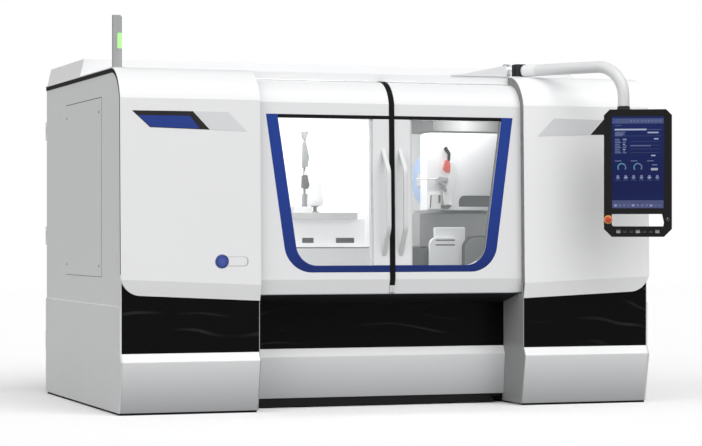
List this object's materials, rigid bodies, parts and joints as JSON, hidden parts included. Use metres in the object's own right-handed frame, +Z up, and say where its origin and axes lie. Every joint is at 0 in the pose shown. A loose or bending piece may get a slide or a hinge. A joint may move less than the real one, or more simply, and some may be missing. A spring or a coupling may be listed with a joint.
{
  "type": "cnc grinding machine",
  "caption": "Enclosed cylindrical grinding machine with two sliding window doors, a swivelling panel on an overhead arm, and a workhead and swivelling wheelhead inside.",
  "frame": {"origin": "floor level, at the middle of the overall width and depth with the panel arm at rest", "axes": "+X along the front to the operator's right, +Y from the operator into the machine, +Z up"},
  "size_m": [3.3, 2.6506, 2.2894],
  "materials": {
    "white_paint": "smooth satin white",
    "light_grey_paint": "satin light grey",
    "side_grey_paint": "fine textured grey",
    "black_gloss": "polished black",
    "black_rubber": "matte",
    "dark_paint": "satin dark grey",
    "blue_trim": "gloss blue",
    "glass": "clear safety glass",
    "steel": "ground",
    "cast_iron": "machined and painted casting",
    "aluminium": "satin anodised",
    "panel_black": "fine matte",
    "screen": "dark display glass",
    "red_plastic": "glossy red",
    "green_lens": "translucent green",
    "wheel_grit": "light blue abrasive",
    "white_liner": "bright white enamel"
  },
  "bodies": {
    "machine": {"machine_bed": "cast_iron", "levelling_feet": "dark_paint", "base_frame": "dark_paint", "posts_and_beams": "side_grey_paint", "left_front_cover": "white_paint", "right_front_cover": "white_paint", "cover_bands": "black_gloss", "cover_skirts": "light_grey_paint", "cover_returns": "light_grey_paint", "door_wipers": "black_rubber", "middle_band": "black_gloss", "underside_panel": "dark_paint", "middle_skirt": "light_grey_paint", "toe_plate": "dark_paint", "side_panels": "side_grey_paint", "lower_side_panels": "side_grey_paint", "access_covers": "side_grey_paint", "side_seals": "black_rubber", "roof_deck": "white_paint", "roof_box": "white_paint", "rear_wall": "side_grey_paint", "electrical_cabinets": "light_grey_paint", "cabinet_hinges": "steel", "extraction_collar": "dark_paint", "door_rails": "steel", "interior_liner": "white_liner", "front_apron": "light_grey_paint", "drive_covers": "white_paint", "work_light": "white_liner", "extraction_hood": "steel", "signal_column": "aluminium", "signal_lens": "green_lens", "arm_base": "light_grey_paint"},
    "left_door": {"left_door_shell": "white_paint", "left_door_glass": "glass", "left_door_trim": "blue_trim", "left_door_handle": "aluminium", "left_door_seal": "black_rubber"},
    "right_door": {"right_door_shell": "white_paint", "right_door_glass": "glass", "right_door_trim": "blue_trim", "right_door_handle": "aluminium", "right_door_seal": "black_rubber"},
    "support_arm": {"support_arm": "light_grey_paint"},
    "control_panel": {"panel_housing": "panel_black", "panel_frame": "panel_black", "panel_screen": "screen"},
    "stop_button": {"stop_button": "red_plastic"},
    "override_knob": {"override_knob": "dark_paint"},
    "left_cabinet_door": {"left_cabinet_door": "side_grey_paint"},
    "right_cabinet_door": {"right_cabinet_door": "side_grey_paint"},
    "work_table": {"work_table": "cast_iron", "workhead": "white_paint", "coolant_stand": "aluminium"},
    "chuck": {"chuck": "steel"},
    "cross_slide": {"cross_slide": "cast_iron"},
    "wheelhead": {"wheelhead": "white_paint"},
    "grinding_wheel": {"grinding_wheel": "wheel_grit"},
    "internal_spindle": {"internal_spindle": "steel"},
    "probe_arm": {"probe_arm": "white_paint"}
  },
  "joints": [
    {"name": "left_door_slide", "type": "slide", "parent": "machine", "child": "left_door", "axis": [-1, 0, 0], "range_m": [0, 0.7]},
    {"name": "right_door_slide", "type": "slide", "parent": "machine", "child": "right_door", "axis": [1, 0, 0], "range_m": [0, 0.7]},
    {"name": "arm_swivel", "type": "hinge", "parent": "machine", "child": "support_arm", "pos_m": [0.915, -0.49176, 2.02435], "axis": [0, 0, 1], "range_deg": [-60, 5]},
    {"name": "panel_swivel", "type": "hinge", "parent": "support_arm", "child": "control_panel", "pos_m": [1.3054, -1.1415, 1.76235], "axis": [0, 0, 1], "range_deg": [-60, 60]},
    {"name": "stop_press", "type": "slide", "parent": "control_panel", "child": "stop_button", "axis": [0.454, 0.891, 0], "range_m": [0, 0.004], "stiffness_N_per_m": 1200},
    {"name": "override_turn", "type": "hinge", "parent": "control_panel", "child": "override_knob", "pos_m": [1.50878, -1.3091, 1.11395], "axis": [0.454, 0.891, 0], "range_deg": [-135, 135]},
    {"name": "left_cabinet_hinge", "type": "hinge", "parent": "machine", "child": "left_cabinet_door", "pos_m": [-1.642, 1.28624, 1], "axis": [0, 0, 1], "range_deg": [0, 110]},
    {"name": "right_cabinet_hinge", "type": "hinge", "parent": "machine", "child": "right_cabinet_door", "pos_m": [1.642, 1.28624, 1], "axis": [0, 0, -1], "range_deg": [0, 110]},
    {"name": "table_traverse", "type": "slide", "parent": "machine", "child": "work_table", "axis": [1, 0, 0], "range_m": [-0.14, 0.34]},
    {"name": "chuck_spin", "type": "hinge", "parent": "work_table", "child": "chuck", "pos_m": [-0.598, -0.03176, 1.37], "axis": [1, 0, 0], "continuous": true},
    {"name": "cross_feed", "type": "slide", "parent": "machine", "child": "cross_slide", "axis": [0, 1, 0], "range_m": [-0.05, 0.07]},
    {"name": "wheelhead_swivel", "type": "hinge", "parent": "cross_slide", "child": "wheelhead", "pos_m": [0.75, 0.20824, 1.15], "axis": [0, 0, 1], "range_deg": [-30, 210]},
    {"name": "wheel_spin", "type": "hinge", "parent": "wheelhead", "child": "grinding_wheel", "pos_m": [0.51525, 0.15829, 1.37], "axis": [1, 0, 0], "continuous": true},
    {"name": "internal_spindle_spin", "type": "hinge", "parent": "wheelhead", "child": "internal_spindle", "pos_m": [1.00808, -0.07031, 1.37], "axis": [1, 0, 0], "continuous": true},
    {"name": "probe_swing", "type": "hinge", "parent": "wheelhead", "child": "probe_arm", "pos_m": [0.60015, -0.14881, 1.2164], "axis": [0, 1, 0], "range_deg": [0, 75]}
  ]
}
